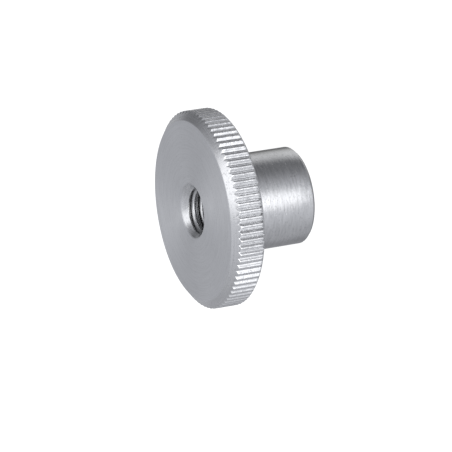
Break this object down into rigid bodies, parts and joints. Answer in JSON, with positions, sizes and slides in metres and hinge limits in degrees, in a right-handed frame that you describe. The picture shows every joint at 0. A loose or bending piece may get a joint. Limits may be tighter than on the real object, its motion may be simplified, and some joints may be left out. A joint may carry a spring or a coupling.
{
  "type": "knurled thumb nut",
  "caption": "Thumb nut turned from one piece: a thin bevelled disc with a straight knurl on its rim, on a tall cylindrical hub, with a threaded hole right through.",
  "frame": {"origin": "centre of the flat end of the hub, on the axis of the screw hole, at the plane that the nut bears and stands on", "axes": "+Z along the screw hole, from the hub's end towards the face of the knurled disc; +X is any radial direction, through a crest of the knurl"},
  "size_m": [0.016, 0.016, 0.0091],
  "materials": {
    "turned_steel": "bright turned stainless steel with fine lathe marks"
  },
  "bodies": {
    "root": {"thumb_nut": "turned_steel"}
  },
  "joints": []
}
